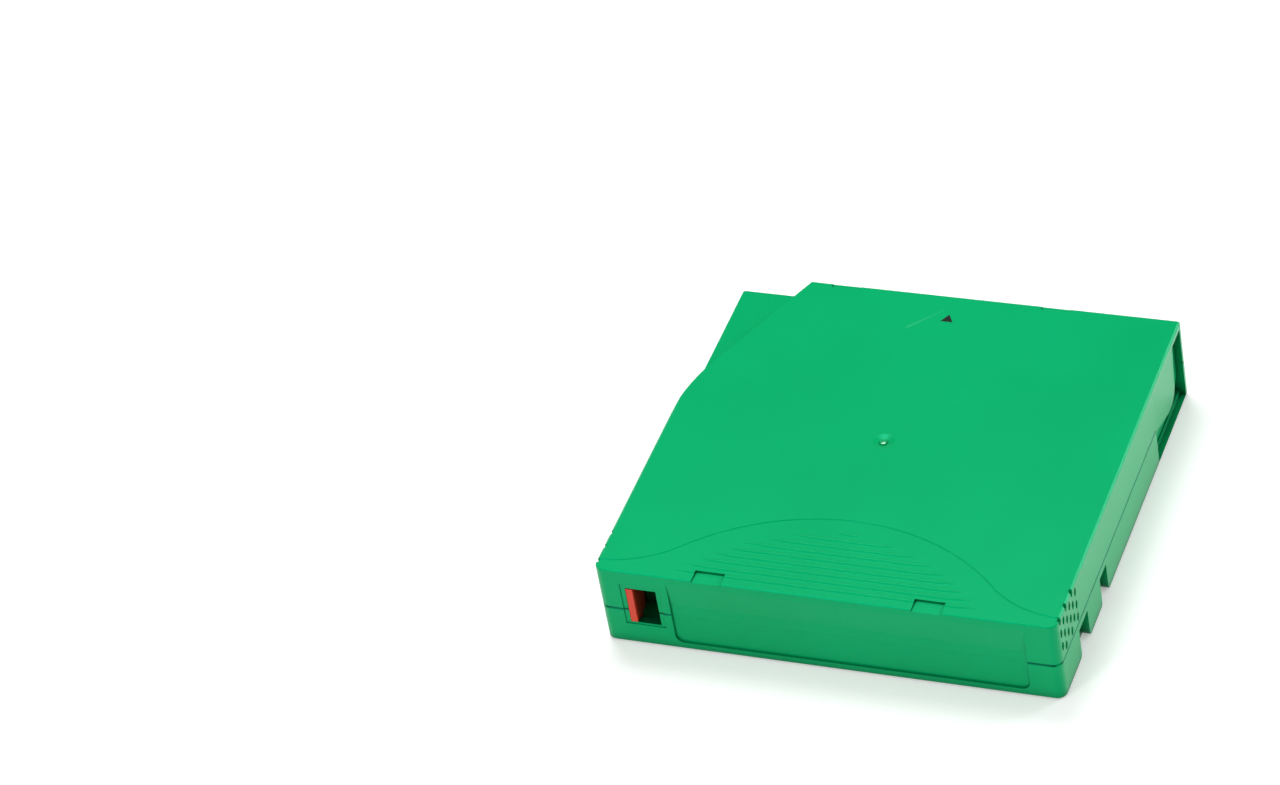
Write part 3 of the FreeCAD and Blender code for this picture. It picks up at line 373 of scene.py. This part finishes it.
green = casePlasticFinish()
hubPlastic, brakePlastic = resinFinish("hubResin"), resinFinish("brakeResin")
turned, sprung = steelFinish("turnedSteel"), steelFinish("springSteel")
screwed, film = steelFinish("screwSteel"), tapeFinish()
finishes = {
    "upper_shell": green, "lower_shell": green, "access_door": green,
    "write_protect_slider": sliderPlasticFinish(),
    "leader_pin": turned, "pin_retaining_spring": sprung, "leader_pin_clamp": resinFinish("clampResin"),
    "memory_board": boardFinish(), "memory_chip": resinFinish("chipResin"),
    "reel_hub": hubPlastic, "reel_upper_flange": hubPlastic, "reel_plate": steelFinish("plateSteel"),
    "tape_pack": film, "leader_tape": film, "release_pad": brakePlastic, "brake_button": brakePlastic,
}
for name, node in nodes.items():
    if name.startswith("case_screw"):
        finishes[name] = screwed
    if name in finishes:
        node.material_slots[0].material = finishes[name]
print("finishes on", len(finishes), "nodes")

# new pieces: surfaces worked out on a grid


def surface(name, points, finish, body=None, roundAcross=False):
    # points is rows x columns x 3 in metres; every cell of the grid becomes a face, and where the
    # columns go all the way round, the first and last rows are closed with a face each; a piece
    # with no body belongs to the stage
    rows, columns, _ = points.shape
    index = np.arange(rows * columns).reshape(rows, columns)
    ends = [index[0, ::-1].tolist(), index[-1].tolist()] if roundAcross else []
    index = np.hstack([index, index[:, :1]]) if roundAcross else index
    faces = np.stack([index[:-1, :-1], index[:-1, 1:], index[1:, 1:], index[1:, :-1]], axis=-1)
    mesh = bpy.data.meshes.new(name)
    mesh.from_pydata(points.reshape(-1, 3).tolist(), [], faces.reshape(-1, 4).tolist() + ends)
    mesh.materials.append(finish)
    piece = bpy.data.objects.new(name, mesh)
    scene.collection.objects.link(piece)
    if body:
        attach(piece, body)
    return piece


def smooth(piece):
    piece.data.polygons.foreach_set("use_smooth", np.ones(len(piece.data.polygons), bool))
    piece.data.update()


# springs: round wire, with the end turns closed up

springs = {
    "doorCoil": {"node": "door_spring", "joint": "door_slide", "axis": 1, "fixed": "low",
                 "wire": 0.45, "radius": 1.2, "turns": 16, "shortens": 20.0},
    "brakeCoil": {"node": "brake_spring", "joint": "brake_lift", "axis": 2, "fixed": "high",
                  "wire": 0.7, "radius": 7.7, "turns": 4.5, "shortens": 1.8},
}
coilMesh = {"stepsPerTurn": 28, "sides": 12, "closing": 0.6, "point": 0.001}


def coilSpring(name):
    # centre line: a circle of the coil's radius that climbs along the axis, easing off over the end
    # turns; surface: a circle of the wire's radius round that line, shrunk to a point at both ends
    look = springs[name]
    axis = look["axis"]
    low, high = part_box(look["node"])
    centre = np.array((low + high) / 2)
    wire, radius = look["wire"] / 2 * millimetre, look["radius"] * millimetre
    length = high[axis] - low[axis] - 2 * wire
    along = np.linspace(0, 1, int(look["turns"] * coilMesh["stepsPerTurn"]) + 1)
    along = np.concatenate([[0], along, [1]])[:, None]
    thick = np.ones_like(along)
    thick[[0, -1]] = coilMesh["point"]
    climb = along - np.sin(2 * math.pi * along) * coilMesh["closing"] / look["turns"]
    turn = 2 * math.pi * look["turns"] * along
    around = np.linspace(2 * math.pi, 0, coilMesh["sides"], endpoint=False)[None, :]
    reach = radius + wire * thick * np.cos(around)
    points = np.zeros((*reach.shape, 3))
    first, second = (axis + 1) % 3, (axis + 2) % 3
    points[..., axis] = low[axis] + wire + length * climb + wire * thick * np.sin(around)
    points[..., first] = centre[first] + reach * np.cos(turn)
    points[..., second] = centre[second] + reach * np.sin(turn)
    piece = surface(name, points, sprung, "case", roundAcross=True)
    smooth(piece)
    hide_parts(look["node"])
    anchor = centre.copy()
    anchor[axis] = low[axis] if look["fixed"] == "low" else high[axis]
    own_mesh(piece)


for name in springs:
    coilSpring(name)
print("springs wound")

# insertion arrow: a solid triangle printed on the top, pointing the way the cartridge goes in

arrow = {
    "centre": 0.2, "tip": 44.4, "base": 41.9, "width": 2.9, "blunt": 0.001, "cells": 9, "ink": 0.012,
    "dark": (0.010, 0.014, 0.011, 1), "light": (0.022, 0.028, 0.024, 1), "screen": 0.00025,
    "roughness": 0.5, "specular": 0.1, "height": 0.000004,
}


def inkFinish():
    finish = Finish("printInk")
    screen = finish.noise(arrow["screen"], 2.0)
    colour = finish.tint(screen, arrow["dark"], arrow["light"])
    return finish.done(Base_Color=colour, Roughness=arrow["roughness"] + 0.1 * screen,
                       Specular_IOR_Level=arrow["specular"], Normal=finish.relief(screen, arrow["height"]))


def insertionArrow():
    # a flat sheet: v runs from the base to the tip, u across, and the width falls to a point
    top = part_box("upper_shell")[1][2]
    u = np.linspace(-0.5, 0.5, arrow["cells"])[None, :]
    v = np.linspace(0, 1 - arrow["blunt"], arrow["cells"])[:, None]
    x = arrow["centre"] + u * arrow["width"] * (1 - v)
    y = arrow["base"] + v * (arrow["tip"] - arrow["base"]) + np.zeros_like(x)
    points = np.stack([x * millimetre, y * millimetre, np.full_like(x, top)], axis=-1)
    piece = surface("insertion_arrow", points, inkFinish(), "case")
    layer = piece.modifiers.new("thickness", "SOLIDIFY")
    layer.thickness, layer.offset = arrow["ink"] * millimetre, 1


insertionArrow()
print("arrow printed")

# gate bead: the polished blob left by the mould's gate, in the dimple over the reel

bead = {
    "radius": 0.8, "below": 0.01, "curve": 3.4, "skirt": 0.5, "flare": 0.1, "point": 0.001,
    "firstRing": 0.06, "firstStep": 0.1, "skirtPower": 1.5, "rings": 14, "skirtRings": 4, "sides": 40,
    "roughness": 0.2, "coat": 1.0, "ripple": 0.0006, "height": 0.000006,
}


def beadFinish():
    finish = Finish("polishedGate")
    ripple = finish.noise(bead["ripple"], 2.0)
    colour = finish.tint(ripple, casePlastic["greenDeep"], casePlastic["green"])
    return finish.done(Base_Color=colour, Roughness=bead["roughness"] + 0.05 * ripple,
                       Coat_Weight=bead["coat"], Normal=finish.relief(ripple, bead["height"]))


def gateBead():
    # profile turned round the dimple's axis: a shallow sphere, which falls by the square of the
    # distance over twice its radius, then a short skirt that curves outwards
    low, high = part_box("tape_pack")
    centre, top = (low + high) / 2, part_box("upper_shell")[1][2] - bead["below"] * millimetre
    skirt = bead["skirtRings"]
    rings = [[bead["point"]], np.linspace(bead["firstRing"], 1, bead["rings"]), np.ones(skirt)]
    reach = bead["radius"] * np.concatenate(rings)
    fall = reach ** 2 / (2 * bead["curve"])
    fall[-skirt:] += bead["skirt"] * np.linspace(bead["firstStep"], 1, skirt) ** bead["skirtPower"]
    reach[-skirt:] += bead["flare"] * np.linspace(0, 1, skirt)
    reach, fall = reach[::-1, None] * millimetre, fall[::-1, None] * millimetre
    turn = np.linspace(0, 2 * math.pi, bead["sides"], endpoint=False)[None, :]
    x, y = centre[0] + reach * np.cos(turn), centre[1] + reach * np.sin(turn)
    points = np.stack([x, y, top - fall + np.zeros_like(x)], axis=-1)
    piece = surface("gate_bead", points, beadFinish(), "case", roundAcross=True)
    smooth(piece)


gateBead()
print("gate bead placed")

# floor: white paper, which is lifted to white where it is seen directly

paper = {
    "colour": (0.90, 0.90, 0.90, 1), "grain": 0.002, "roughness": 0.55, "specular": 0.3,
    "reach": 3.0, "lines": 5, "drop": 0.00004,
    # the lift near the part, and what comes on top from farNear to farFar metres away
    "lift": 0.32, "farLift": 0.7, "farNear": 0.25, "farFar": 0.9,
    # a bright card behind and right of the part, which only shows where something mirrors it
    "card": 0.64, "cardFrom": -0.15, "cardTo": 0.25,
}


def floorFinish():
    # the lift leaves the shadow as it is
    finish = Finish("floorPaper")
    grain = finish.noise(paper["grain"], 2.0)
    x, y, _ = finish.parts()
    card = (x + y).between(paper["cardFrom"], paper["cardTo"]) * paper["card"]
    far = (x * x + y * y).root().between(paper["farNear"], paper["farFar"])
    lift = finish.seenBy("Is Camera Ray") * (paper["lift"] + paper["farLift"] * far)
    lift = lift.larger(finish.seenBy("Is Glossy Ray") * card)
    return finish.done(Base_Color=paper["colour"], Roughness=paper["roughness"] + 0.05 * grain,
                       Specular_IOR_Level=paper["specular"], Emission_Color=(1, 1, 1, 1),
                       Emission_Strength=lift)


def floor():
    line = np.linspace(-paper["reach"], paper["reach"], paper["lines"])
    u, v = np.meshgrid(line, line)
    surface("floor", np.stack([u, v, np.full_like(u, -paper["drop"])], axis=-1), floorFinish())


# sky: even light with a dark flag behind the part, from the cosine of the angle to its middle

daylight = {"level": 0.56, "flag": (-0.346, 0.687, 0.64), "inner": 0.96, "outer": 0.6, "dark": 0.10}


def sky():
    # the camera and clear things see plain white
    light = Finish("studio", "worlds")
    direct = light.seenBy("Is Camera Ray").larger(light.seenBy("Is Transmission Ray"))
    links = {0: light.place, 1: daylight["flag"]}
    towards = light.node("ShaderNodeVectorMath", {"operation": "DOT_PRODUCT"}, links, output="Value")
    links = {0: towards, 1: daylight["outer"], 2: daylight["inner"]}
    links.update({3: daylight["level"], 4: daylight["dark"]})
    level = light.node("ShaderNodeMapRange", {"interpolation_type": "SMOOTHSTEP"}, links)
    strength = light.node("ShaderNodeMix", None, {0: direct, 2: level, 3: 1.0})
    glow = light.node("ShaderNodeBackground", None, {"Color": (1, 1, 1, 1), "Strength": strength})
    light.node("ShaderNodeOutputWorld", None, {"Surface": glow})
    scene.world = light.block


# soft square lamps that face the part: place and size in metres

lamps = {
    "backLeft": {"from": (-0.24, 0.38, 0.98), "size": 0.45, "watts": 5.7},
    "frontLeft": {"from": (-0.32, -0.66, 0.70), "size": 0.15, "watts": 1.5},
    "backRight": {"from": (0.80, 0.75, 0.45), "size": 0.35, "watts": 3.6},
}


def lamp(name):
    look = lamps[name]
    light = bpy.data.lights.new(name, "AREA")
    light.shape, light.size, light.energy = "SQUARE", look["size"], look["watts"]
    holder = bpy.data.objects.new(name, light)
    holder.location = look["from"]
    holder.rotation_euler = (-Vector(look["from"])).to_track_quat("-Z", "Y").to_euler()
    scene.collection.objects.link(holder)


cameraView = {"aim": (-0.0584, -0.0006, 0.0281), "azimuth": 26.73, "elevation": 39.76, "roll": -11.134,
              "distance": 1.1389, "lens": 142.5}


def camera():
    side, rise = math.radians(cameraView["azimuth"]), math.radians(cameraView["elevation"])
    back = Vector((math.sin(side) * math.cos(rise), -math.cos(side) * math.cos(rise), math.sin(rise)))
    data = bpy.data.cameras.new("camera")
    data.lens = cameraView["lens"]
    holder = bpy.data.objects.new("camera", data)
    holder.rotation_mode = "QUATERNION"
    roll = Quaternion((0, 0, 1), math.radians(cameraView["roll"]))
    holder.rotation_quaternion = (-back).to_track_quat("-Z", "Y") @ roll
    holder.location = Vector(cameraView["aim"]) + back * cameraView["distance"]
    scene.collection.objects.link(holder)
    scene.camera = holder


floor()
sky()
for name in lamps:
    lamp(name)
camera()
print("studio set")

bpy.context.view_layer.update()
